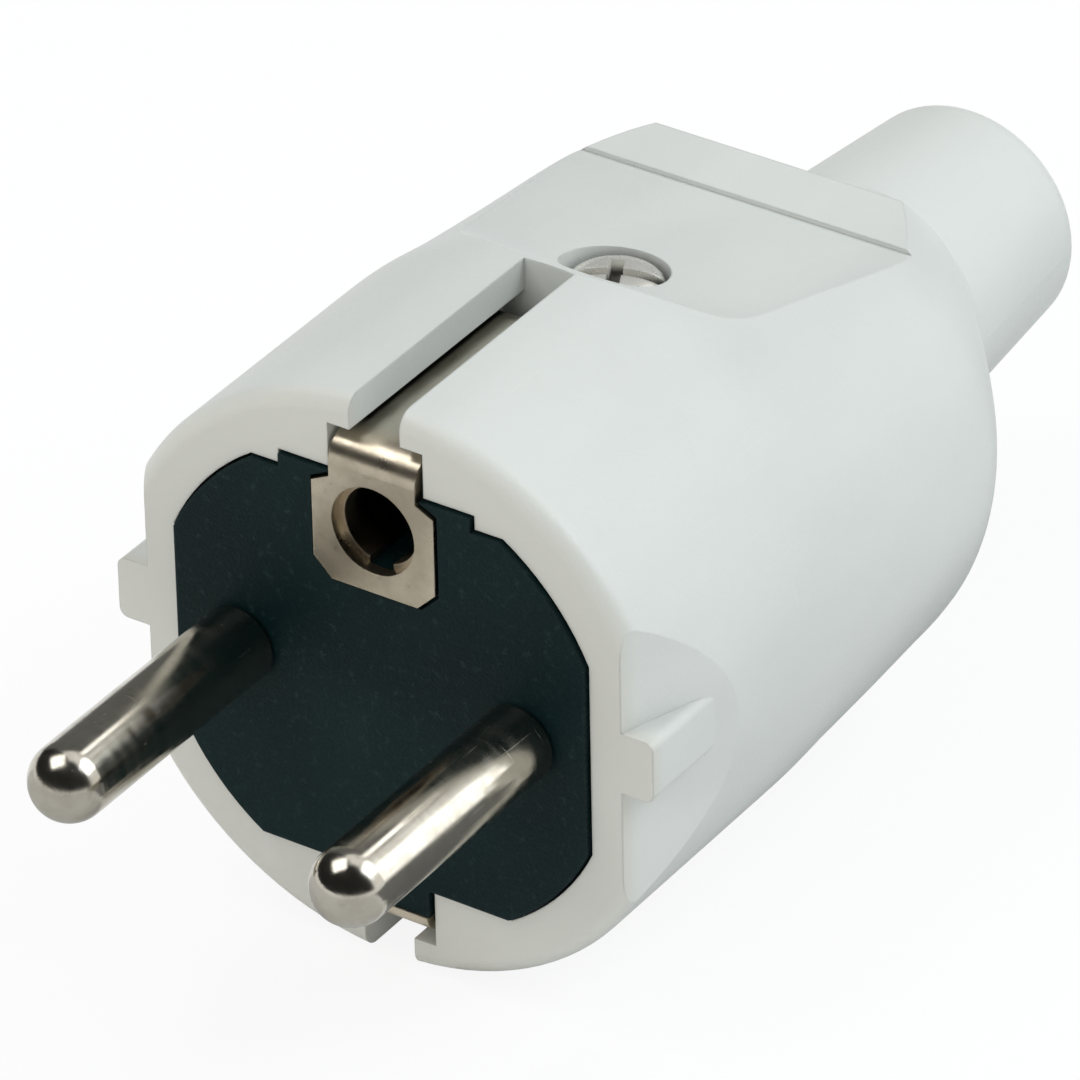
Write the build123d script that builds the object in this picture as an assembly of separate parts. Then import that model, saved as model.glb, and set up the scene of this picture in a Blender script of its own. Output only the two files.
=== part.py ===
from build123d import *
from math import sin, pi
import os

os.makedirs("parts", exist_ok=True)

# Rewirable two-pin earthed plug, pattern CEE 7/7, 16 A.
# Frame: X to the right, Y from the engagement face back to the cord outlet, Z up.
# The origin is the centre of the engagement face, midway between the pins.
# All dimensions are in millimetres.

# Pins, from the standard sheet
pin_spacing = 19.0
pin_radius = 2.4
pin_length = 19.0
pin_relief = 0.3
pin_seat_depth = 0.6
pin_shank_radius = 1.9
rivet_radius = 2.7
rivet_height = 0.9

# Hood, the outer moulding
collar_radius = 18.75
collar_front = 0.3
collar_end = 17.5
side_flat = 16.0
side_flare = 0.33
lug_half_height = 2.0
lug_height = 0.6
lug_reach = 18.2
lug_root = 14.5
lug_rounding = 0.6
rim_rounding = 1.1
hood_wall = 2.4
pocket_clearance = 0.15
spout_drop = 1.2
spout_base = 47.0
spout_end = 64.2
spout_base_radius = 8.85
spout_end_radius = 7.4
spout_rounding = 1.6
cord_radius = 4.3

# Grip, seen from the side as (distance, height): a scoop behind the collar, a flat that slopes
# down to a small step, a finger ridge that rises to the rear, and a hollow down to the spout
scoop_line = [(17.5, 18.9), (19.5, 17.8), (22.0, 16.05), (26.0, 14.8)]
flat_end = (38.4, 12.42)
ridge_step = 0.3
ridge_end = (42.0, 13.35)
rear_line = [(42.0, 13.35), (44.3, 10.1), (47.0, 8.1), (52.0, 7.2)]
belly_line = [(52.0, -14.4), (42.0, -15.2), (26.0, -16.8), (22.0, -17.4), (19.5, -18.3),
              (17.5, -18.9)]
scoop_slope = (1.0, -0.35)
rear_slope = (1.0, -1.7)
spout_slope = (1.0, -0.1)

# Grip from the front: distance back, half width, reach above, reach below, centre height
grip_stations = [
    (18.0, 18.75, 18.75, 18.75, 0.0),
    (19.5, 18.72, 18.65, 18.70, 0.0),
    (22.0, 18.60, 18.20, 18.52, 0.0),
    (26.0, 18.45, 17.60, 18.30, 0.0),
    (30.0, 18.25, 17.15, 18.10, 0.0),
    (34.0, 18.00, 16.85, 17.95, 0.0),
    (37.5, 17.50, 16.65, 17.90, 0.0),
    (40.0, 16.30, 16.55, 17.60, 0.0),
    (42.5, 14.50, 16.10, 16.90, 0.0),
    (45.0, 12.50, 14.50, 15.30, -0.1),
    (47.5, 10.50, 11.70, 13.00, -0.4),
    (50.0, 8.90, 9.00, 10.40, -0.9),
    (52.0, 8.20, 8.20, 8.20, -1.2),
]
inner_end = 45.0
inner_pick = 2

# Contact carrier, the black insert
carrier_radius = 15.25
carrier_side_flat = 13.9
carrier_top_flat = 12.7
ledge_width = 0.6
key_half_width = 6.45
key_height = 13.6
face_thickness = 4.0
spine_half_width = 3.0
spine_end = 16.4
cheek_thickness = 1.8
cheek_half_height = 9.0
cheek_end = 31.0
shelf_top = -4.2
shelf_thickness = 3.2
shelf_outer = 13.2
shelf_end = 15.0

# Earth bow, one bent strip around the carrier
strip_half_width = 2.9
strip_thickness = 0.8
strip_outer = 15.95
strip_bend = 1.6
web_back = spine_end + strip_thickness
channel_half_width = 3.2
channel_height = 16.6
channel_end = 17.9
slot_half_width = 1.7
receiver_height = 10.7
receiver_hole = 2.8
receiver_half_width = 4.1
receiver_bottom = 6.6
receiver_shoulder = 12.8
receiver_chamfer = 1.2
receiver_proud = 0.15
sleeve_inner = 2.45
sleeve_thickness = 0.45
sleeve_length = 12.0
sleeve_gap = 1.6
well_radius = sleeve_inner + sleeve_thickness
well_wall = 1.5
lip_length = 1.4

# Terminals
terminal_half_width = 3.4
terminal_thickness = 1.2
terminal_height = 4.0
terminal_end = 13.6
terminal_screw_back = 10.0
washer_half_width = 3.0
washer_thickness = 1.0
terminal_screw_radius = 1.75
terminal_screw_length = 4.6
terminal_head_radius = 2.9
terminal_head_height = 2.2
washer_corner = 0.6
earth_screw_height = -5.0
earth_screw_length = 4.2
earth_head_radius = 2.6
earth_washer_half_width = 2.7

# Housing screw and its nut
housing_screw_back = 24.6
housing_screw_radius = 1.5
housing_head_radius = 2.8
housing_head_height = 2.0
housing_head_top = 14.1
counterbore_radius = 3.25
pad_radius = 4.6
pad_thickness = 2.2
boss_front = 20.9
boss_back = 28.4
boss_half_width = spine_half_width + cheek_thickness
boss_bottom = 0.6
nut_flats = 5.5
nut_height = 2.4
nut_pocket_floor = 3.2
nut_clearance = 0.1
nut_corner_reach = 0.6
screw_turn = 25

# Cord clamp
clamp_front = 31.6
clamp_back = 38.0
clamp_half_width = 10.9
clamp_screw_offset = 8.3
clamp_floor_top = -6.6
clamp_floor_bottom = -9.8
floor_rounding = 1.5
clamp_post_radius = 2.4
clamp_post_top = -1.6
clamp_bar_thickness = 2.2
clamp_arch_radius = 4.0
clamp_screw_radius = 1.5
clamp_head_radius = 2.4
clamp_head_height = 1.8
clamp_nut_flats = 5.0
clamp_nut_height = 2.0
clamp_bar_setback = 0.6
clamp_screw_end = 0.3

# Screw heads: a cross recess combined with one long slot
slot_width = 0.9
cross_width = 1.1
cross_length = 3.0
recess_depth = 1.1
thread_clearance = 0.05
hole_clearance = 0.25


def station(distance):
    """Sketch plane across the plug, seen from the front, at a distance behind the face."""
    return Plane(origin=(0, distance, 0), x_dir=(1, 0, 0), z_dir=(0, -1, 0))


def prism(sketch, front, back):
    """Front view outline carried from one distance back to another."""
    return extrude(station(front) * sketch, amount=back - front, dir=(0, 1, 0))


def side_prism(sketch, half_width):
    """Side view outline (distance, height) carried across the plug on both sides."""
    side = Plane(origin=(-half_width, 0, 0), x_dir=(0, 1, 0), z_dir=(1, 0, 0))
    return extrude(side * sketch, amount=2 * half_width, dir=(1, 0, 0))


def turned_along(points, across=0.0, height=0.0):
    """Revolved shape whose axis runs back: points are (radius, distance)."""
    profile = make_face(Polyline(*points, close=True))
    return Pos(across, 0, height) * revolve(profile, Axis.Y)


def polygon(*points):
    """Closed outline through the given corners."""
    return make_face(Polyline(*points, close=True))


def block(left, right, front, back, bottom, top):
    """Rectangular solid between pairs of coordinates."""
    size = (right - left, back - front, top - bottom)
    middle = ((left + right) / 2, (front + back) / 2, (bottom + top) / 2)
    return Pos(*middle) * Box(*size)


def sided_block(side, inner, outer, front, back, bottom, top):
    """Block on the left (-1) or right (1), between two distances from the middle."""
    left, right = sorted((side * inner, side * outer))
    return block(left, right, front, back, bottom, top)


def column(radius, bottom, top, across, distance):
    """Upright round solid between two heights."""
    return Pos(across, distance, (bottom + top) / 2) * Cylinder(radius, top - bottom)


def save(shape, name):
    """Writes one piece as its own file."""
    shape.label = name
    export_step(shape, f"parts/{name}.step")


def grip_section(values, inset=0.0):
    """One section of the grip: half ellipses of different reach above and below."""
    distance, half_width, above, below, centre = values
    half_width = half_width - inset
    middle = (0, centre)
    upper = EllipticalCenterArc(middle, half_width, above - inset, 0, arc_size=180)
    lower = EllipticalCenterArc(middle, half_width, below - inset, 180, arc_size=180)
    return (station(distance) * make_face([upper, lower])).face()


def grip_profile(drop=0.0):
    """Side view outline between the grip's upper and lower lines, or inside them by drop."""
    def lowered(points, fall):
        return [(distance, height - fall) for distance, height in points]

    step_top = (flat_end[0], flat_end[1] + ridge_step)
    scoop = Spline(*lowered(scoop_line, drop), tangents=[scoop_slope, (
        flat_end[0] - scoop_line[-1][0], flat_end[1] - scoop_line[-1][1])])
    top = Polyline(*lowered([scoop_line[-1], flat_end, step_top, ridge_end], drop))
    rear = Spline(*lowered(rear_line, drop), tangents=[rear_slope, spout_slope])
    belly = Polyline(*lowered([belly_line[0]], -drop), *lowered(belly_line[1:], -drop))
    ends = [Line(rear @ 1, belly @ 0), Line(belly @ 1, scoop @ 0)]
    return make_face([scoop, top, rear, belly] + ends)


def carrier_outline(clearance=0.0):
    """Front outline of the contact carrier with its locating key above."""
    outline = Circle(carrier_radius + clearance)
    width = 2 * (carrier_side_flat + clearance)
    outline &= Rectangle(width, 2 * (carrier_top_flat + clearance))
    key_top = key_height + clearance
    outline += Pos(0, key_top / 2) * Rectangle(2 * (key_half_width + clearance), key_top)
    return outline


def room_outline(clearance=0.0):
    """Front outline of the wiring room behind the carrier's face plate."""
    radius = carrier_radius - ledge_width - clearance
    width = 2 * (carrier_side_flat - ledge_width - clearance)
    return Circle(radius) & Rectangle(width, 2 * radius)


def receiver_outline(clearance=0.0):
    """Front outline of the plate around the earth pin hole, with its neck."""
    wide = receiver_half_width + clearance
    neck = strip_half_width + clearance
    low = receiver_bottom - clearance
    shoulder = receiver_shoulder + clearance
    corner = receiver_chamfer
    return polygon(
        (-wide + corner, low), (wide - corner, low), (wide, low + corner), (wide, shoulder),
        (neck, shoulder + 0.6), (neck, strip_outer - strip_bend),
        (-neck, strip_outer - strip_bend), (-neck, shoulder + 0.6), (-wide, shoulder),
        (-wide, low + corner))


def cross_recess(half_slot):
    """Combined recess for a screw head, drawn in its own plane."""
    recess = Rectangle(2 * half_slot, slot_width)
    recess += Rectangle(cross_width, cross_length)
    return recess


def screw(shaft_radius, shaft_length, head_radius, head_height):
    """Screw standing on its head's underside at height 0, shaft downward."""
    dome = head_height * 0.3
    point = shaft_radius * 0.35
    profile = polygon(
        (0, -shaft_length), (shaft_radius - point, -shaft_length),
        (shaft_radius, point - shaft_length), (shaft_radius, 0), (head_radius, 0),
        (head_radius, head_height - dome), (head_radius * 0.8, head_height), (0, head_height))
    body = revolve(Plane.XZ * profile, Axis.Z)
    floor = Pos(0, 0, head_height - recess_depth)
    return body - extrude(floor * cross_recess(head_radius * 1.2), amount=2 * recess_depth)


def nut(flats, height, bore):
    """Hexagon nut standing at height 0, two flats facing left and right."""
    body = extrude(RegularPolygon(flats / 2, 6, major_radius=False, rotation=30),
                   amount=height)
    return body - Cylinder(bore, 3 * height)


def square_washer(half_width):
    """Square clamping washer standing at height 0, with rounded corners."""
    plate = RectangleRounded(2 * half_width, 2 * half_width, washer_corner)
    plate -= Circle(terminal_screw_radius + hole_clearance)
    return extrude(plate, amount=washer_thickness)


# Hood skin: collar, grip and spout
collar = prism(Circle(collar_radius), collar_front, collar_end)
rim_edge = collar.edges().sort_by(Axis.Y)[0]
collar = fillet(rim_edge, rim_rounding)
for side in (1, -1):
    flare_top = side * (side_flat + side_flare * collar_end)
    flare = Plane.XY * polygon((side * side_flat, 0), (flare_top, collar_end),
                               (side * 2 * collar_radius, collar_end),
                               (side * 2 * collar_radius, 0))
    collar -= extrude(flare, amount=collar_radius, both=True)
    lug = sided_block(side, lug_root, lug_reach, collar_front, collar_end,
                      lug_height - lug_half_height, lug_height + lug_half_height)
    outer_edges = lug.edges().filter_by(Axis.Y).sort_by(Axis.X)
    lug = fillet(outer_edges[-2:] if side > 0 else outer_edges[:2], lug_rounding)
    collar += lug & prism(Circle(collar_radius), collar_front, collar_end)
collar_back = (collar_end, collar_radius, collar_radius, collar_radius, 0.0)
grip = loft([grip_section(values) for values in [collar_back] + grip_stations])
grip &= side_prism(grip_profile(), 2 * collar_radius)
spout = turned_along(
    [(0, spout_base), (spout_base_radius, spout_base), (spout_end_radius, spout_end),
     (0, spout_end)], height=-spout_drop)
spout = fillet(spout.edges().sort_by(Axis.Y)[-1], spout_rounding)
hood = collar + grip + spout

# Hood inside: pocket for the carrier, wiring room, cord bore
skin = hood
hood -= prism(carrier_outline(pocket_clearance), collar_front - 1, face_thickness)
hood -= prism(room_outline(), face_thickness, collar_end + 1)
inner_stations = [values for values in grip_stations[::inner_pick] if values[0] < inner_end]
inner_stations += [values for values in grip_stations if values[0] == inner_end]
room = loft([grip_section(values, hood_wall) for values in inner_stations])
hood -= room & side_prism(grip_profile(hood_wall), 2 * collar_radius)
hood -= turned_along(
    [(0, collar_end), (cord_radius, collar_end), (cord_radius, spout_end + 1),
     (0, spout_end + 1)], height=-spout_drop)

# Grooves above and below for the earth contacts: a channel with a narrower open slot
groove_low = carrier_top_flat - 1
for side in (1, -1):
    middle = side * (groove_low + channel_height) / 2
    channel = Pos(0, middle) * Rectangle(2 * channel_half_width, channel_height - groove_low)
    hood -= prism(channel, collar_front - 1, channel_end)
    middle = side * (groove_low / 2 + collar_radius)
    slot = Pos(0, middle) * Rectangle(2 * slot_half_width, 2 * collar_radius - groove_low)
    hood -= prism(slot, collar_front - 1, channel_end)

# Seat for the housing screw: pad inside, counterbore outside
seat_height = housing_head_top - housing_head_height
pad_bottom = seat_height - pad_thickness
hood += skin & column(pad_radius, pad_bottom, collar_radius, 0, housing_screw_back)
hood -= column(counterbore_radius, seat_height, 2 * collar_radius, 0, housing_screw_back)
hood -= column(housing_screw_radius + hole_clearance, pad_bottom - 1, seat_height + 1, 0,
               housing_screw_back)
save(hood, "housing")

# Earth bow: receiver plate, strips above and below, and the web behind, in one bent part
bow_front = -receiver_proud
bow_length = web_back - bow_front
ring = RectangleRounded(bow_length, 2 * strip_outer, strip_bend)
ring -= RectangleRounded(bow_length - 2 * strip_thickness,
                         2 * (strip_outer - strip_thickness), strip_bend - strip_thickness)
lip_bottom = -strip_outer + lip_length
opening_height = receiver_shoulder - lip_bottom
ring -= Pos(-bow_length / 2, (receiver_shoulder + lip_bottom) / 2) * Rectangle(
    4 * strip_thickness, opening_height)
bow = side_prism(Pos((web_back + bow_front) / 2, 0) * ring, strip_half_width)
plate_back = bow_front + strip_thickness
bow += prism(receiver_outline(), bow_front, plate_back)
hole = Pos(0, receiver_height) * Circle(receiver_hole)
bow -= prism(hole, bow_front - 1, plate_back + 1)
tapping = Pos(0, earth_screw_height) * Circle(terminal_screw_radius + thread_clearance)
bow -= prism(tapping, spine_end - 1, web_back + 1)
save(bow, "earth_bow")

# Rolled sleeve that grips the earth pin of the socket
sleeve_outline = Circle(well_radius) - Circle(sleeve_inner)
sleeve_outline -= Pos(0, -well_radius) * Rectangle(sleeve_gap, well_radius)
sleeve = prism(Pos(0, receiver_height) * sleeve_outline, plate_back,
               plate_back + sleeve_length)
save(sleeve, "receiver_sleeve")

# Pins: round nose, solid stem, shank riveted behind the terminal plate
nose_centre = pin_radius - pin_length
rivet_front = face_thickness + terminal_thickness
seat_radius = pin_radius - pin_relief
half_chord = pin_radius * sin(pi / 4)
nose = ThreePointArc((0, -pin_length), (half_chord, nose_centre - half_chord),
                     (pin_radius, nose_centre))
stem = Polyline(
    (pin_radius, nose_centre), (pin_radius, -pin_relief), (seat_radius, 0),
    (seat_radius, pin_seat_depth),
    (pin_shank_radius, pin_seat_depth), (pin_shank_radius, rivet_front),
    (rivet_radius, rivet_front), (rivet_radius * 0.8, rivet_front + rivet_height),
    (0, rivet_front + rivet_height), (0, -pin_length))
pin_blank = revolve(make_face([nose, stem]), Axis.Y)
pins = {}
for name, side in (("left", -1), ("right", 1)):
    pins[name] = Pos(side * pin_spacing / 2, 0, 0) * pin_blank
    save(pins[name], f"pin_{name}")

# Contact carrier: face plate, spine, receiver well, cheeks and terminal shelves
carrier = prism(carrier_outline(), 0, face_thickness)
spine_top = strip_outer - strip_thickness
carrier += prism(Rectangle(2 * spine_half_width, 2 * spine_top), 0, spine_end)
well_end = plate_back + sleeve_length + 2
carrier += prism(Pos(0, receiver_height) * Circle(well_radius + well_wall),
                 face_thickness - 1, well_end)
shelf_room = prism(room_outline(pocket_clearance), face_thickness - 1, shelf_end)
for side in (1, -1):
    carrier += sided_block(side, spine_half_width - 1, boss_half_width, face_thickness - 1,
                           cheek_end, -cheek_half_height, cheek_half_height)
    carrier += shelf_room & sided_block(
        side, spine_half_width, shelf_outer, face_thickness - 1, shelf_end,
        shelf_top - shelf_thickness, shelf_top)
    carrier -= sided_block(side, 0, spine_half_width, spine_end, boss_front,
                           -cheek_half_height - 1, cheek_half_height + 1)

# Contact carrier: nut boss, clamp floor and clamp posts
carrier += block(-boss_half_width, boss_half_width, boss_front, boss_back, boss_bottom,
                 pad_bottom)
carrier += block(-boss_half_width, boss_half_width, boss_front, clamp_front + 1,
                 -cheek_half_height, clamp_floor_top)
clamp_middle = (clamp_front + clamp_back) / 2
floor_plate = block(-clamp_half_width, clamp_half_width, clamp_front, clamp_back,
                    clamp_floor_bottom, clamp_floor_top)
carrier += fillet(floor_plate.edges().filter_by(Axis.Z), floor_rounding)
for side in (1, -1):
    carrier += column(clamp_post_radius, clamp_floor_top - 1, clamp_post_top,
                      side * clamp_screw_offset, clamp_middle)

# Contact carrier: recesses for the earth bow, the pins, the screws and the nuts
carrier -= prism(receiver_outline(pocket_clearance), -1, plate_back)
carrier -= prism(Pos(0, strip_outer) * Rectangle(
    2 * (strip_half_width + pocket_clearance), 2 * (strip_outer - receiver_shoulder)),
    -1, plate_back)
carrier -= prism(Pos(0, -strip_outer) * Rectangle(
    2 * (strip_half_width + pocket_clearance), 2 * lip_length), -1, plate_back)
carrier -= bow
carrier -= turned_along([(0, -1), (well_radius, -1), (well_radius, well_end - 1),
                         (0, well_end - 1)], height=receiver_height)
for pin in pins.values():
    carrier -= pin
carrier -= turned_along(
    [(0, spine_end - 4), (terminal_screw_radius + hole_clearance, spine_end - 4),
     (terminal_screw_radius + hole_clearance, spine_end + 1), (0, spine_end + 1)],
    height=earth_screw_height)
for side in (1, -1):
    carrier -= column(terminal_screw_radius + hole_clearance, shelf_top - shelf_thickness - 1,
                      shelf_top + 1, side * pin_spacing / 2, terminal_screw_back)
    carrier -= column(clamp_screw_radius + thread_clearance, clamp_floor_bottom - 1,
                      clamp_post_top + 1, side * clamp_screw_offset, clamp_middle)
    pocket_half = clamp_nut_flats / 2 + nut_clearance
    carrier -= sided_block(side, clamp_screw_offset - clamp_nut_flats * nut_corner_reach,
                           clamp_half_width + 1, clamp_middle - pocket_half,
                           clamp_middle + pocket_half, clamp_floor_bottom - 1,
                           clamp_floor_bottom + clamp_nut_height)
carrier -= column(housing_screw_radius + hole_clearance, boss_bottom - 1, pad_bottom + 1, 0,
                  housing_screw_back)
pocket_half = nut_flats / 2 + nut_clearance
carrier -= block(-pocket_half, pocket_half, housing_screw_back - nut_flats * nut_corner_reach,
                 boss_back + 1, nut_pocket_floor, nut_pocket_floor + nut_height + nut_clearance)
save(carrier, "contact_carrier")

# Terminal plates, clamping washers and screws behind each pin
bracket_outline = polygon(
    (face_thickness, terminal_height), (face_thickness, shelf_top),
    (terminal_end, shelf_top), (terminal_end, shelf_top + terminal_thickness),
    (rivet_front, shelf_top + terminal_thickness), (rivet_front, terminal_height))
bracket = side_prism(bracket_outline, terminal_half_width)
bracket -= turned_along([(0, 0), (pin_shank_radius, 0), (pin_shank_radius, terminal_end),
                         (0, terminal_end)])
leg_top = shelf_top + terminal_thickness
bracket -= column(terminal_screw_radius + thread_clearance, shelf_top - 1, leg_top + 1, 0,
                  terminal_screw_back)
washer = square_washer(washer_half_width)
terminal_screw = screw(terminal_screw_radius, terminal_screw_length, terminal_head_radius,
                       terminal_head_height)
for name, side in (("left", -1), ("right", 1)):
    across = side * pin_spacing / 2
    save(Pos(across, 0, 0) * bracket, f"terminal_plate_{name}")
    save(Pos(across, terminal_screw_back, leg_top) * washer, f"terminal_washer_{name}")
    save(Pos(across, terminal_screw_back, leg_top + washer_thickness) * terminal_screw,
         f"terminal_screw_{name}")

# Earth terminal on the web of the bow, screwed in from behind
backward = Pos(0, web_back, earth_screw_height) * Rot(-90, 0, 0)
save(backward * square_washer(earth_washer_half_width), "earth_washer")
save(backward * Pos(0, 0, washer_thickness) * screw(
    terminal_screw_radius, earth_screw_length, earth_head_radius, terminal_head_height),
    "earth_screw")

# Housing screw from above and its captive nut
housing_screw_length = seat_height - nut_pocket_floor + 1
housing_screw = screw(housing_screw_radius, housing_screw_length, housing_head_radius,
                      housing_head_height)
save(Pos(0, housing_screw_back, seat_height) * Rot(0, 0, screw_turn) * housing_screw,
     "housing_screw")
housing_nut = nut(nut_flats, nut_height, housing_screw_radius + thread_clearance)
save(Pos(0, housing_screw_back, nut_pocket_floor) * housing_nut, "housing_nut")

# Cord clamp: arched bar on two posts, two screws and two nuts
bar_outline = Pos(0, clamp_post_top + clamp_bar_thickness / 2) * Rectangle(
    2 * clamp_half_width, clamp_bar_thickness)
arch = Circle(clamp_arch_radius + clamp_bar_thickness) - Circle(clamp_arch_radius)
bar_outline -= Pos(0, clamp_post_top) * Circle(clamp_arch_radius)
upper_half = Pos(0, 2 * clamp_arch_radius) * Rectangle(4 * clamp_arch_radius,
                                                       4 * clamp_arch_radius)
bar_outline += Pos(0, clamp_post_top) * (arch & upper_half)
clamp_bar = prism(bar_outline, clamp_front + clamp_bar_setback,
                  clamp_back - clamp_bar_setback)
bar_top = clamp_post_top + clamp_bar_thickness
for side in (1, -1):
    clamp_bar -= column(clamp_screw_radius + thread_clearance, clamp_post_top - 1,
                        bar_top + 1, side * clamp_screw_offset, clamp_middle)
save(clamp_bar, "cord_clamp_bar")
clamp_screw = screw(clamp_screw_radius, bar_top - clamp_floor_bottom - clamp_screw_end,
                    clamp_head_radius, clamp_head_height)
clamp_nut = nut(clamp_nut_flats, clamp_nut_height, clamp_screw_radius + thread_clearance)
for name, side in (("left", -1), ("right", 1)):
    across = side * clamp_screw_offset
    save(Pos(across, clamp_middle, bar_top) * clamp_screw, f"cord_clamp_screw_{name}")
    save(Pos(across, clamp_middle, clamp_floor_bottom) * Rot(0, 0, 90) * clamp_nut,
         f"cord_clamp_nut_{name}")
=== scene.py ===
import math

import bmesh
import bpy
from mathutils import Matrix, Vector


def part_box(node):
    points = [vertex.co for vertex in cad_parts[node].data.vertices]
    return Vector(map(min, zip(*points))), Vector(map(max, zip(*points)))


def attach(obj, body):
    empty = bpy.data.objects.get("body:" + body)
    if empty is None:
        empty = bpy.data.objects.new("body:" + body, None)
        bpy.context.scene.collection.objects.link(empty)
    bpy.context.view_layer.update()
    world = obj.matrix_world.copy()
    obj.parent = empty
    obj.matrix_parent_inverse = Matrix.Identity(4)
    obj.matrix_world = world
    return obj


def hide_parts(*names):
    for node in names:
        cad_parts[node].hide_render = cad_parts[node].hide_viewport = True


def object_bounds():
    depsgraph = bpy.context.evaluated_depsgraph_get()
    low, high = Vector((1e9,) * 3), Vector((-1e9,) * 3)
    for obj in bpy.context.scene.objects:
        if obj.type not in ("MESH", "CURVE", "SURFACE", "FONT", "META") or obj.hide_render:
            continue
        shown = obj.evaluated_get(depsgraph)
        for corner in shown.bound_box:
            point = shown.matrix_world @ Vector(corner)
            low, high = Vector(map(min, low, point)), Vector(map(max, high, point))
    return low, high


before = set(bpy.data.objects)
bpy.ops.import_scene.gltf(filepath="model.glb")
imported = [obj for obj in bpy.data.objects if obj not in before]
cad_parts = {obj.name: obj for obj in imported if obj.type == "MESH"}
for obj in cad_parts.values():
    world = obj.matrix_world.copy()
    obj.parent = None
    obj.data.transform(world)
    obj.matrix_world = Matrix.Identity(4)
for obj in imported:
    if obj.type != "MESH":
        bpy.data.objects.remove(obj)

cad_box = [list(corner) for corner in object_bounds()]
scene = bpy.context.scene
MM = 0.001
PLUG_MIDDLE = Vector((0, 0.024, 0))
RADIANS_PER_METRE = 6283.0  # phase of rings that lie one millimetre apart


# Camera

def camera_axes(azimuth, elevation, roll):
    """Right, up and backward directions of a camera that looks at the plug from the front."""
    a, e, r = (math.radians(angle) for angle in (azimuth, elevation, roll))
    back = Vector((math.sin(a) * math.cos(e), -math.cos(a) * math.cos(e), math.sin(e)))
    right = Vector((0, 0, 1)).cross(back).normalized()
    up = back.cross(right)
    level_right = right * math.cos(r) + up * math.sin(r)
    level_up = up * math.cos(r) - right * math.sin(r)
    return level_right, level_up, back


def place_camera():
    """A long lens, a little above the plug and to the right of its pins."""
    right, up, back = camera_axes(azimuth=34.19, elevation=32.89, roll=-1.22)
    data = bpy.data.cameras.new("front_camera")
    data.sensor_width = 36.0
    focal_length, picture_width = 10178.17, 1080  # pixels of the photograph
    data.lens = focal_length / picture_width * data.sensor_width
    data.clip_start, data.clip_end = 0.05, 20.0
    camera = bpy.data.objects.new("front_camera", data)
    scene.collection.objects.link(camera)
    place = (right * 9.05 + up * 8.455 + back * 572.79) * MM
    turn = Matrix((right, up, back)).transposed().to_4x4()
    camera.matrix_world = Matrix.Translation(place) @ turn
    scene.camera = camera


place_camera()


# Effects shared by several finishes

class Tree:
    """Short ways to add nodes to a material or to a shader node group."""

    def __init__(self, node_tree):
        self.tree = node_tree
        self.tree.nodes.clear()

    def add(self, kind, values=None, **settings):
        node = self.tree.nodes.new("ShaderNode" + kind)
        for name, value in settings.items():
            setattr(node, name, value)
        for socket, value in (values or {}).items():
            self.feed(node.inputs[socket], value)
        return node

    def feed(self, socket, value):
        if isinstance(value, bpy.types.NodeSocket):
            self.tree.links.new(value, socket)
        elif isinstance(value, bpy.types.Node):
            self.tree.links.new(value.outputs[0], socket)
        else:
            socket.default_value = value

    def math(self, operation, first, second=0.0, clamp=False):
        node = self.add("Math", operation=operation, use_clamp=clamp)
        self.feed(node.inputs[0], first)
        self.feed(node.inputs[1], second)
        return node.outputs[0]

    def ramp(self, value, low, high, bottom=0.0, top=1.0):
        """Value between low and high becomes bottom to top, with soft ends."""
        node = self.add("MapRange", interpolation_type="SMOOTHSTEP")
        for socket, number in zip(node.inputs, (value, low, high, bottom, top)):
            self.feed(socket, number)
        return node.outputs[0]

    def blend(self, amount, first, second, blend_type="MIX"):
        """Colour between first and second."""
        node = self.add("Mix", data_type="RGBA", blend_type=blend_type)
        self.feed(node.inputs[0], amount)
        self.feed(node.inputs[6], first)
        self.feed(node.inputs[7], second)
        return node.outputs[2]

    def noise(self, position, size, detail=2.0, roughness=0.5, stretch=None):
        """Soft noise with lumps of about that size in millimetres."""
        if stretch:
            stretched = self.add("VectorMath", {0: position, 1: stretch}, operation="MULTIPLY")
            position = stretched.outputs[0]
        node = self.add("TexNoise", {"Vector": position, "Scale": 1000.0 / size,
                                     "Detail": detail, "Roughness": roughness})
        return node.outputs["Fac"]

    def place(self):
        """Position on the plug, in metres."""
        return self.add("TexCoord").outputs["Object"]


def effect(name, inputs, outputs, build):
    """Shader node group with named number inputs and named outputs."""
    group = bpy.data.node_groups.new(name, "ShaderNodeTree")
    for socket, value in inputs.items():
        made = group.interface.new_socket(socket, in_out="INPUT", socket_type="NodeSocketFloat")
        made.default_value = value
    for socket in outputs:
        group.interface.new_socket(socket, in_out="OUTPUT", socket_type="NodeSocketFloat")
    tree = Tree(group)
    start = group.nodes.new("NodeGroupInput")
    end = group.nodes.new("NodeGroupOutput")
    build(tree, start.outputs, end.inputs)
    return group


def build_moulded_skin(tree, given, out):
    """Fine spark-eroded grain, slow swells, faint flow shading and specks of moulded plastic."""
    place = tree.place()
    grain = tree.noise(place, 0.22, detail=3.0, roughness=0.6)
    swell = tree.noise(place, 7.0, detail=1.0)
    flow = tree.noise(place, 16.0, detail=3.0, stretch=(1.0, 0.35, 1.0))
    fine = tree.math("MULTIPLY", grain, given["Grain"])
    slow = tree.math("MULTIPLY", swell, given["Swell"])
    tree.feed(out["Height"], tree.math("ADD", fine, slow))
    tree.feed(out["Shade"], tree.ramp(flow, 0.3, 0.7))
    uneven = tree.math("ADD", grain, tree.math("MULTIPLY", flow, 0.8))
    tree.feed(out["Gloss"], tree.ramp(uneven, 0.7, 1.15))
    speck = tree.noise(place, 0.7, detail=3.0, roughness=0.7)
    tree.feed(out["Speck"], tree.ramp(speck, 0.54, 0.72))


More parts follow.
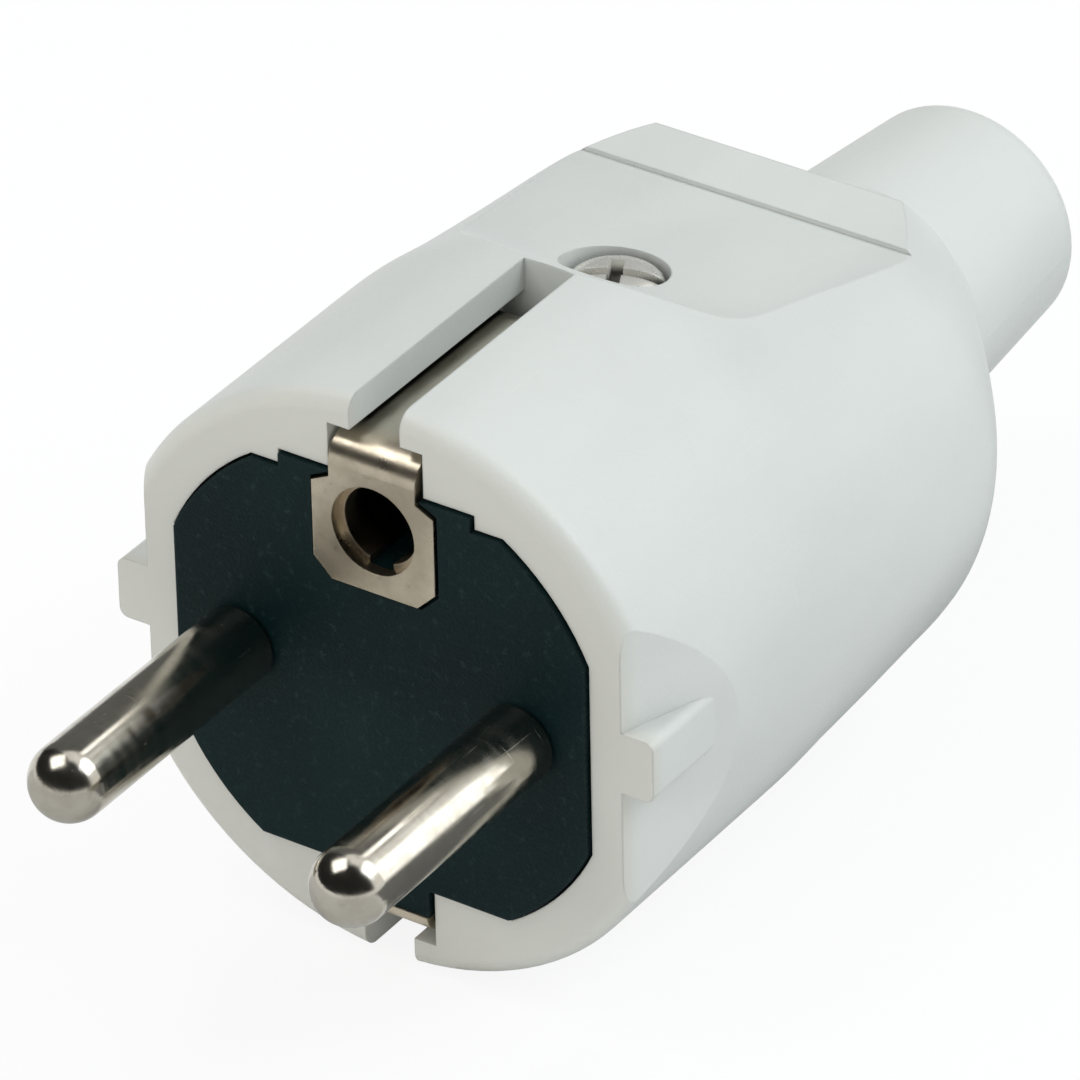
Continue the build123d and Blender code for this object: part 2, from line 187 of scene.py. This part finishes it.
def build_edge_rub(tree, given, out):
    """Rubbed corners: where the rounded normal departs from the flat one, broken up by noise."""
    rounded = tree.add("Bevel", {"Radius": given["Width"]}, samples=2)
    flat = tree.add("NewGeometry").outputs["Normal"]
    aligned = tree.add("VectorMath", {0: rounded, 1: flat}, operation="DOT_PRODUCT")
    corner = tree.math("SUBTRACT", 1.0, aligned.outputs["Value"])
    patches = tree.noise(tree.place(), 1.3, detail=3.0, roughness=0.65)
    broken = tree.math("MULTIPLY", corner, tree.ramp(patches, 0.3, 0.7, 0.35, 1.0))
    tree.feed(out["Mask"], tree.ramp(broken, 0.02, 0.2))


def build_hairlines(tree, given, out):
    """Fine straight scratches: along the plug, and a few at random slants."""
    place = tree.place()
    along = tree.noise(place, 0.12, detail=1.0, stretch=(1.0, 0.02, 1.0))
    around = tree.noise(place, 0.16, detail=1.0, stretch=(0.03, 1.0, 0.03))
    lines = tree.math("MAXIMUM", tree.ramp(along, 0.62, 0.78), tree.ramp(around, 0.66, 0.8))
    where = tree.ramp(tree.noise(place, 4.0, detail=2.0), 0.42, 0.62)
    mask = tree.math("MULTIPLY", tree.math("MULTIPLY", lines, where), given["Amount"])
    tree.feed(out["Mask"], mask)
    tree.feed(out["Height"], tree.math("MULTIPLY", mask, -1.0))


def build_turning_marks(tree, given, out):
    """Close rings left by the lathe round an axis that runs from front to back."""
    place = tree.place()
    along = tree.add("SeparateXYZ", {0: place}).outputs["Y"]
    phase = tree.math("DIVIDE", RADIANS_PER_METRE, given["Pitch"])
    rings = tree.math("SINE", tree.math("MULTIPLY", along, phase))
    uneven = tree.noise(place, 0.5, detail=2.0, stretch=(0.1, 1.0, 0.1))
    tree.feed(out["Height"], tree.math("ADD", tree.math("MULTIPLY", rings, 0.35), uneven))
    tree.feed(out["Gloss"], tree.ramp(uneven, 0.35, 0.65))


def build_settled_dust(tree, given, out):
    """Thin film and specks that gather on faces that look up."""
    place = tree.place()
    upward = tree.add("SeparateXYZ", {0: tree.add("NewGeometry").outputs["Normal"]}).outputs["Z"]
    film = tree.ramp(upward, 0.0, 1.0, 0.25, 1.0)
    clouds = tree.noise(place, 5.0, detail=4.0, roughness=0.6)
    specks = tree.ramp(tree.noise(place, 0.35, detail=2.0, roughness=0.7), 0.66, 0.74)
    cover = tree.math("ADD", tree.ramp(clouds, 0.45, 0.8), tree.math("MULTIPLY", specks, 0.6))
    settled = tree.math("MULTIPLY", cover, film)
    tree.feed(out["Mask"], tree.math("MULTIPLY", settled, given["Amount"], clamp=True))


moulded_skin = effect("moulded_skin", {"Grain": 1.0, "Swell": 0.4},
                      ("Height", "Shade", "Gloss", "Speck"), build_moulded_skin)
edge_rub = effect("edge_rub", {"Width": 0.0003}, ("Mask",), build_edge_rub)
hairlines = effect("hairlines", {"Amount": 1.0}, ("Mask", "Height"), build_hairlines)
turning_marks = effect("turning_marks", {"Pitch": 0.12}, ("Height", "Gloss"), build_turning_marks)
settled_dust = effect("settled_dust", {"Amount": 0.5}, ("Mask",), build_settled_dust)


# Finishes

def start_finish(name):
    material = bpy.data.materials.new(name)
    material.use_nodes = True
    tree = Tree(material.node_tree)
    surface = tree.add("BsdfPrincipled")
    tree.add("OutputMaterial", {"Surface": surface})
    return material, tree, surface


def use(tree, group, **values):
    """One of the shared effects, with its own values."""
    node = tree.add("Group", node_tree=group)
    for socket, value in values.items():
        tree.feed(node.inputs[socket], value)
    return node.outputs


def rounded_bump(tree, surface, height, depth, strength=1.0, corner=0.0002):
    """Height in units of depth millimetres, on a surface whose corners are softened a little."""
    soft = tree.add("Bevel", {"Radius": corner}, samples=2)
    bump = tree.add("Bump", {"Height": height, "Distance": depth * MM, "Strength": strength,
                             "Normal": soft.outputs[0]})
    tree.feed(surface.inputs["Normal"], bump.outputs[0])


def moulded_plastic(name, light, dark, rub_colour, grain, swell, smooth, rough, dust, dust_colour,
                    painted_front_shade=None, speck_colour=None, shine=0.5):
    """Moulded plastic between two shades, rubbed at its corners and lightly dusty, with painted
    shade that makes the faces at the front darker and warmer when a front colour is given.
    """
    material, tree, surface = start_finish(name)
    skin = use(tree, moulded_skin, Grain=grain, Swell=swell)
    rub = use(tree, edge_rub, Width=0.00035)
    marks = use(tree, hairlines, Amount=0.5)
    film = use(tree, settled_dust, Amount=dust)
    colour = tree.blend(skin["Shade"], (*dark, 1), (*light, 1))
    # Painted shade: faces within about 1.6 mm of the front are painted darker and warmer than the
    # rest, standing in for the light that falls on them.
    if painted_front_shade:
        depth = tree.add("SeparateXYZ", {0: tree.place()}).outputs["Y"]
        front_shade_mask = tree.ramp(depth, 0.0002, 0.0016, 1.0, 0.0)
        colour = tree.blend(tree.math("MULTIPLY", front_shade_mask, 0.8), colour, (*painted_front_shade, 1))
    if speck_colour:
        colour = tree.blend(tree.math("MULTIPLY", skin["Speck"], 0.6), colour, (*speck_colour, 1))
    colour = tree.blend(tree.math("MULTIPLY", rub["Mask"], 0.35), colour, (*rub_colour, 1))
    colour = tree.blend(tree.math("MULTIPLY", marks["Mask"], 0.3), colour, (*rub_colour, 1))
    colour = tree.blend(film["Mask"], colour, (*dust_colour, 1))
    tree.feed(surface.inputs["Base Color"], colour)
    gloss = tree.ramp(skin["Gloss"], 0.0, 1.0, smooth, rough)
    duller = tree.math("ADD", gloss, tree.math("MULTIPLY", film["Mask"], 0.3))
    polish = tree.math("MULTIPLY", rub["Mask"], -0.08)
    tree.feed(surface.inputs["Roughness"], tree.math("ADD", duller, polish))
    height = tree.math("ADD", skin["Height"], tree.math("MULTIPLY", marks["Height"], 0.6))
    rounded_bump(tree, surface, height, 0.02)
    surface.inputs["IOR"].default_value = 1.48
    surface.inputs["Specular IOR Level"].default_value = shine
    return material


def plated_metal(name, bright, dull, smooth, rough, scratches, grain=0.0, pitch=None, tarnish=None,
                 painted_groove_shade=None, recess_grime=None, metallic=1.0, depth=0.006):
    """Plated or bare metal, brighter on its rubbed corners, with scratches and a thin tarnish.

    The groove colour is painted shade on what lies behind the front, with a painted almost black
    shadow at the sides under the groove lips; the recess colour is painted shade at the bottom of a
    screw recess and round the low rim of its head.
    """
    material, tree, surface = start_finish(name)
    place = tree.place()
    rub = use(tree, edge_rub, Width=0.00025)
    marks = use(tree, hairlines, Amount=scratches)
    film = use(tree, settled_dust, Amount=0.12)
    cloud = tree.noise(place, 2.4, detail=4.0, roughness=0.6)
    colour = tree.blend(tree.ramp(cloud, 0.35, 0.7), (*bright, 1), (*dull, 1))
    if tarnish:
        spots = tree.ramp(tree.noise(place, 0.9, detail=4.0, roughness=0.7), 0.58, 0.75)
        colour = tree.blend(tree.math("MULTIPLY", spots, 0.45), colour, (*tarnish, 1))
    colour = tree.blend(tree.math("MULTIPLY", rub["Mask"], 0.5), colour, (*bright, 1))
    # Painted shade: colour more than about 1.2 mm behind the front goes towards the groove colour,
    # and beyond 1.8 mm to the side it is painted almost black as the shadow under the groove lips.
    if painted_groove_shade:
        depth_back = tree.add("SeparateXYZ", {0: place}).outputs["Y"]
        groove_shade_mask = tree.ramp(depth_back, 0.0012, 0.0030)
        colour = tree.blend(tree.math("MULTIPLY", groove_shade_mask, 0.85), colour, (*painted_groove_shade, 1))
        aside = tree.math("ABSOLUTE", tree.add("SeparateXYZ", {0: place}).outputs["X"])
        painted_lip_shadow = tree.math("MULTIPLY", groove_shade_mask, tree.ramp(aside, 0.0018, 0.0021))
        colour = tree.blend(painted_lip_shadow, colour, (0.02, 0.02, 0.016, 1))
    # Painted shade: below about 14.2 mm up, at the bottom of the screw recess and round the low rim
    # of the head, the colour goes towards the recess colour, with a wavering edge.
    if recess_grime:
        height_up = tree.add("SeparateXYZ", {0: place}).outputs["Z"]
        shade_edge_wobble = tree.math("MULTIPLY", tree.math("SUBTRACT", cloud, 0.5), 0.0006)
        recess_shade_mask = tree.ramp(tree.math("ADD", height_up, shade_edge_wobble), 0.01385, 0.01445, 1.0, 0.0)
        colour = tree.blend(tree.math("MULTIPLY", recess_shade_mask, 0.9), colour, (*recess_grime, 1))
    tree.feed(surface.inputs["Base Color"], colour)
    surface.inputs["Metallic"].default_value = metallic
    gloss = tree.ramp(cloud, 0.3, 0.75, smooth, rough)
    gloss = tree.math("ADD", gloss, tree.math("MULTIPLY", marks["Mask"], 0.18))
    gloss = tree.math("ADD", gloss, tree.math("MULTIPLY", film["Mask"], 0.4))
    height = marks["Height"]
    if pitch:
        rings = use(tree, turning_marks, Pitch=pitch)
        height = tree.math("ADD", height, tree.math("MULTIPLY", rings["Height"], 0.25))
        gloss = tree.math("ADD", gloss, tree.math("MULTIPLY", rings["Gloss"], 0.05))
    if grain:
        roll = tree.noise(place, 0.18, detail=2.0, stretch=(1.0, 0.25, 1.0))
        height = tree.math("ADD", height, tree.math("MULTIPLY", roll, grain))
    tree.feed(surface.inputs["Roughness"], gloss)
    rounded_bump(tree, surface, height, depth, corner=0.00012)
    return material


finishes = {
    "hood_plastic": moulded_plastic(
        "hood_grey_moulding", light=(0.665, 0.685, 0.655), dark=(0.605, 0.625, 0.60),
        rub_colour=(0.78, 0.78, 0.76), grain=1.0, swell=0.5, smooth=0.36, rough=0.5, dust=0.10,
        # painted darker, warmer shade on the front faces
        dust_colour=(0.55, 0.54, 0.49), painted_front_shade=(0.60, 0.59, 0.53)),
    "carrier_plastic": moulded_plastic(
        "carrier_black_moulding", light=(0.005, 0.017, 0.018), dark=(0.002, 0.010, 0.011),
        rub_colour=(0.03, 0.05, 0.05), grain=1.8, swell=1.4, smooth=0.42, rough=0.62, dust=0.08,
        dust_colour=(0.05, 0.075, 0.075), speck_colour=(0.016, 0.034, 0.034), shine=0.13),
    "clamp_plastic": moulded_plastic(
        "clamp_black_moulding", light=(0.02, 0.02, 0.022), dark=(0.014, 0.014, 0.015),
        rub_colour=(0.06, 0.06, 0.06), grain=1.2, swell=0.8, smooth=0.4, rough=0.6, dust=0.1,
        dust_colour=(0.12, 0.12, 0.12)),
    "nickel_brass": plated_metal(
        "pin_bright_nickel", bright=(0.60, 0.565, 0.49), dull=(0.50, 0.465, 0.39),
        smooth=0.10, rough=0.2, scratches=0.8, pitch=0.12, tarnish=(0.32, 0.27, 0.20)),
    "earth_nickel": plated_metal(
        "earth_strip_satin_nickel", bright=(0.68, 0.60, 0.47), dull=(0.56, 0.49, 0.37),
        smooth=0.26, rough=0.38, scratches=0.7, grain=0.5, tarnish=(0.30, 0.25, 0.18),
        # painted shade on the strip in the groove, with painted shadow under its lips
        painted_groove_shade=(0.62, 0.60, 0.52)),
    "spring_bronze": plated_metal(
        "receiver_spring_bronze", bright=(0.64, 0.55, 0.42), dull=(0.50, 0.41, 0.29),
        # painted shade deep in the receiver sleeve, almost black at its sides
        smooth=0.25, rough=0.42, scratches=0.5, pitch=0.2, painted_groove_shade=(0.12, 0.10, 0.075)),
    "terminal_brass": plated_metal(
        "terminal_drawn_brass", bright=(0.80, 0.62, 0.32), dull=(0.66, 0.49, 0.24),
        smooth=0.28, rough=0.45, scratches=0.8, grain=0.6),
    "screw_steel": plated_metal(
        "screw_zinc_plate", bright=(0.86, 0.845, 0.79), dull=(0.70, 0.68, 0.62),
        smooth=0.26, rough=0.42, scratches=0.7, tarnish=(0.30, 0.26, 0.20)),
    "housing_screw": plated_metal(
        "housing_screw_nickel", bright=(0.90, 0.885, 0.83), dull=(0.76, 0.745, 0.68),
        smooth=0.22, rough=0.36, scratches=0.7, tarnish=(0.34, 0.30, 0.23),
        # painted shade in the head's recess and round its rim
        recess_grime=(0.05, 0.045, 0.035), metallic=0.6),
    "washer_steel": plated_metal(
        "washer_stamped_steel", bright=(0.66, 0.66, 0.65), dull=(0.52, 0.52, 0.51),
        smooth=0.3, rough=0.46, scratches=0.7, grain=0.6),
    "nut_steel": plated_metal(
        "nut_zinc_plate", bright=(0.68, 0.68, 0.66), dull=(0.54, 0.54, 0.52),
        smooth=0.28, rough=0.42, scratches=0.6, grain=0.4),
}

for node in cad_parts.values():
    for slot in node.material_slots:
        slot.material = finishes[slot.material.name.split(".")[0]]


# Housing screw with a domed head, in place of the plain one

def turned_mesh(name, profile, steps=48):
    """Closed mesh of a profile of (radius, height) in millimetres, turned round its height."""
    shape = bmesh.new()
    rings = []
    for radius, height in profile:
        if radius == 0:
            rings.append([shape.verts.new((0, 0, height * MM))] * steps)
        else:
            turns = [math.tau * i / steps for i in range(steps)]
            rings.append([shape.verts.new((radius * MM * math.cos(turn),
                                           radius * MM * math.sin(turn), height * MM))
                          for turn in turns])
    for low, high in zip(rings, rings[1:]):
        for i in range(steps):
            j = (i + 1) % steps
            corners = list(dict.fromkeys((low[i], low[j], high[j], high[i])))
            shape.faces.new(corners)
    mesh = bpy.data.meshes.new(name)
    shape.to_mesh(mesh)
    shape.free()
    return mesh


def recess_mesh(name, reach, half_slot, arm, half_arm, bottom, top, taper):
    """Long slot crossed by a short one, narrower at the bottom, to be cut from a screw head."""
    outline = [(reach, half_slot), (half_arm, half_slot), (half_arm, arm), (-half_arm, arm),
               (-half_arm, half_slot), (-reach, half_slot)]
    outline += [(-x, -y) for x, y in outline]
    shape = bmesh.new()
    low = [shape.verts.new((x * taper * MM, y * taper * MM, bottom * MM)) for x, y in outline]
    high = [shape.verts.new((x * MM, y * MM, top * MM)) for x, y in outline]
    shape.faces.new(low[::-1])
    shape.faces.new(high)
    for i in range(len(outline)):
        j = (i + 1) % len(outline)
        shape.faces.new((low[i], low[j], high[j], high[i]))
    mesh = bpy.data.meshes.new(name)
    shape.to_mesh(mesh)
    shape.free()
    return mesh


def make_domed_screw(name, node, seat, turn, finish):
    """Raised countersunk style head in its counterbore, with a combined slot and cross recess."""
    low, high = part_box(node)
    shank, head, edge, rise = 1.5, 2.95, 1.8, 2.8
    length = (seat - low[2]) / MM
    dome = [(head * math.cos(t), edge + (rise - edge) * math.sin(t))
            for t in (math.radians(10 * k) for k in range(9))]
    point = [(0, -length), (shank * 0.65, -length), (shank, 0.5 - length), (shank, 0)]
    profile = point + [(head * 0.97, 0), (head, 0.12)] + dome + [(0, rise)]
    screw = bpy.data.objects.new(name, turned_mesh(name, profile))
    recess = bpy.data.objects.new(name + "_recess", recess_mesh(
        name + "_recess", reach=3.6, half_slot=0.42, arm=1.75, half_arm=0.46,
        bottom=rise - 1.15, top=rise + 1, taper=0.86))
    for piece in (screw, recess):
        scene.collection.objects.link(piece)
    cut = screw.modifiers.new("recess", "BOOLEAN")
    cut.operation, cut.solver, cut.object = "DIFFERENCE", "EXACT", recess
    worn = screw.modifiers.new("worn_edges", "BEVEL")
    worn.width, worn.segments = 0.07 * MM, 2
    worn.limit_method, worn.angle_limit = "ANGLE", math.radians(32)
    view = bpy.context.evaluated_depsgraph_get()
    solid = bpy.data.meshes.new_from_object(screw.evaluated_get(view))
    screw.modifiers.clear()
    screw.data = solid
    bpy.data.objects.remove(recess)
    middle = Vector(((low[0] + high[0]) / 2, (low[1] + high[1]) / 2, seat))
    solid.transform(Matrix.Translation(middle) @ Matrix.Rotation(math.radians(turn), 4, "Z"))
    solid.polygons.foreach_set("use_smooth", [True] * len(solid.polygons))
    solid.set_sharp_from_angle(angle=math.radians(28))
    solid.materials.clear()
    solid.materials.append(finish)
    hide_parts(node)
    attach(screw, "root")


counterbore_floor = 12.1 * MM
make_domed_screw("housing_screw_domed", "housing_screw", seat=counterbore_floor, turn=25,
                 finish=finishes["housing_screw"])


# Studio

def floor_finish():
    """White card that keeps a soft shadow, and is clear from below."""
    material = bpy.data.materials.new("white_card")
    material.use_nodes = True
    tree = Tree(material.node_tree)
    paper = tree.add("BsdfDiffuse", {"Color": (0.9, 0.9, 0.9, 1)})
    glow = tree.add("Emission", {"Color": (1, 1, 1, 1), "Strength": 1.0})
    light_path = tree.add("LightPath").outputs
    seen = tree.math("MAXIMUM", light_path["Is Camera Ray"], light_path["Is Transmission Ray"])
    seen = tree.math("MAXIMUM", seen, tree.math("MULTIPLY", light_path["Is Glossy Ray"], 0.3))
    card = tree.add("MixShader", {0: tree.math("MULTIPLY", seen, 0.88), 1: paper, 2: glow})
    below = tree.add("NewGeometry").outputs["Backfacing"]
    clear = tree.add("BsdfTransparent")
    tree.add("OutputMaterial", {"Surface": tree.add("MixShader", {0: below, 1: card, 2: clear})})
    return material


def lay_floor(level):
    """Wide round card under the plug."""
    steps, radius = 64, 4.0
    rim = [(radius * math.cos(math.tau * i / steps), radius * math.sin(math.tau * i / steps), level)
           for i in range(steps)]
    mesh = bpy.data.meshes.new("white_card")
    mesh.from_pydata(rim, [], [tuple(range(steps))])
    mesh.materials.append(floor_finish())
    floor = bpy.data.objects.new("white_card", mesh)
    scene.collection.objects.link(floor)


def light_world():
    """Pale grey all round as light, and white where the camera and reflections see it."""
    world = bpy.data.worlds.new("studio")
    world.use_nodes = True
    tree = Tree(world.node_tree)
    fill = tree.add("Background", {"Color": (0.98, 0.99, 0.98, 1), "Strength": 0.52})
    white = tree.add("Background", {"Color": (1, 1, 1, 1), "Strength": 1.0})
    light_path = tree.add("LightPath").outputs
    seen = tree.math("MAXIMUM", light_path["Is Camera Ray"], light_path["Is Glossy Ray"])
    seen = tree.math("MAXIMUM", seen, light_path["Is Transmission Ray"])
    tree.add("OutputWorld", {"Surface": tree.add("MixShader", {0: seen, 1: fill, 2: white})})
    scene.world = world


def hang_softbox(name, azimuth, elevation, distance, width, height, power, colour=(1, 1, 1),
                 in_reflections=True):
    """Soft lamp round the plug: azimuth 0 is in front of the pins, 90 to their right."""
    _, _, back = camera_axes(azimuth, elevation, 0)
    data = bpy.data.lights.new(name, "AREA")
    data.shape, data.size, data.size_y = "RECTANGLE", width, height
    data.energy, data.color = power, colour
    lamp = bpy.data.objects.new(name, data)
    lamp.location = PLUG_MIDDLE + back * distance
    lamp.rotation_mode = "QUATERNION"
    lamp.rotation_quaternion = back.to_track_quat("Z", "Y")
    lamp.visible_glossy = in_reflections
    scene.collection.objects.link(lamp)


def stage_card(name, rows, shade):
    """Grey card off camera, seen only in reflections, so that it blocks no light."""
    columns = len(rows[0])
    corners = [r * columns + c for r in range(len(rows) - 1) for c in range(columns - 1)]
    faces = [(i, i + 1, i + columns + 1, i + columns) for i in corners]
    mesh = bpy.data.meshes.new(name)
    mesh.from_pydata([point for row in rows for point in row], [], faces)
    material = bpy.data.materials.new(name)
    material.use_nodes = True
    tree = Tree(material.node_tree)
    felt = tree.add("BsdfDiffuse", {"Color": (shade, shade, shade, 1)})
    tree.add("OutputMaterial", {"Surface": felt})
    mesh.materials.append(material)
    card = bpy.data.objects.new(name, mesh)
    scene.collection.objects.link(card)
    card.visible_camera = card.visible_shadow = False
    card.visible_diffuse = card.visible_transmission = False


def bend_card(name, azimuths, elevations, distance, shade):
    """Card bent round the plug between two directions and two heights."""
    def spread(limits, steps):
        return [limits[0] + (limits[1] - limits[0]) * i / steps for i in range(steps + 1)]

    rows = [[PLUG_MIDDLE + camera_axes(azimuth, elevation, 0)[2] * distance
             for azimuth in spread(azimuths, 24)] for elevation in spread(elevations, 10)]
    stage_card(name, rows, shade)


def lay_card(name, across, along, shade):
    """Flat card just above the floor, between two distances across and two along the plug."""
    level = floor_level + MM / 10
    stage_card(name, [[(x, y, level) for x in across] for y in along], shade)


floor_level = cad_box[0][2]
light_world()
lay_floor(floor_level)
hang_softbox("left_softbox", -59, 62, 0.75, 0.44, 0.44, 1.7)
hang_softbox("right_softbox", 116, 46, 0.8, 0.45, 0.45, 2.5, colour=(0.85, 0.93, 1.0))
hang_softbox("rear_softbox", 139, 16, 0.8, 0.30, 0.5, 0.7, colour=(0.97, 0.99, 1.0))
hang_softbox("rear_strip_light", 172, 46, 0.8, 0.12, 0.35, 0.3)
hang_softbox("front_softbox", -5, 20, 0.9, 0.6, 0.6, 1.5, in_reflections=False)
bend_card("front_dark_card", (-115, 95), (4, 86), 1.2, 0.03)
bend_card("rear_grey_card", (160, 245), (-1, 60), 1.2, 0.22)
lay_card("low_grey_card", (0.004, 0.2), (-0.001, 0.25), 0.17)
lay_card("front_grey_card", (-0.25, 0.25), (-0.3, -0.004), 0.62)

scene.view_settings.view_transform = "Standard"
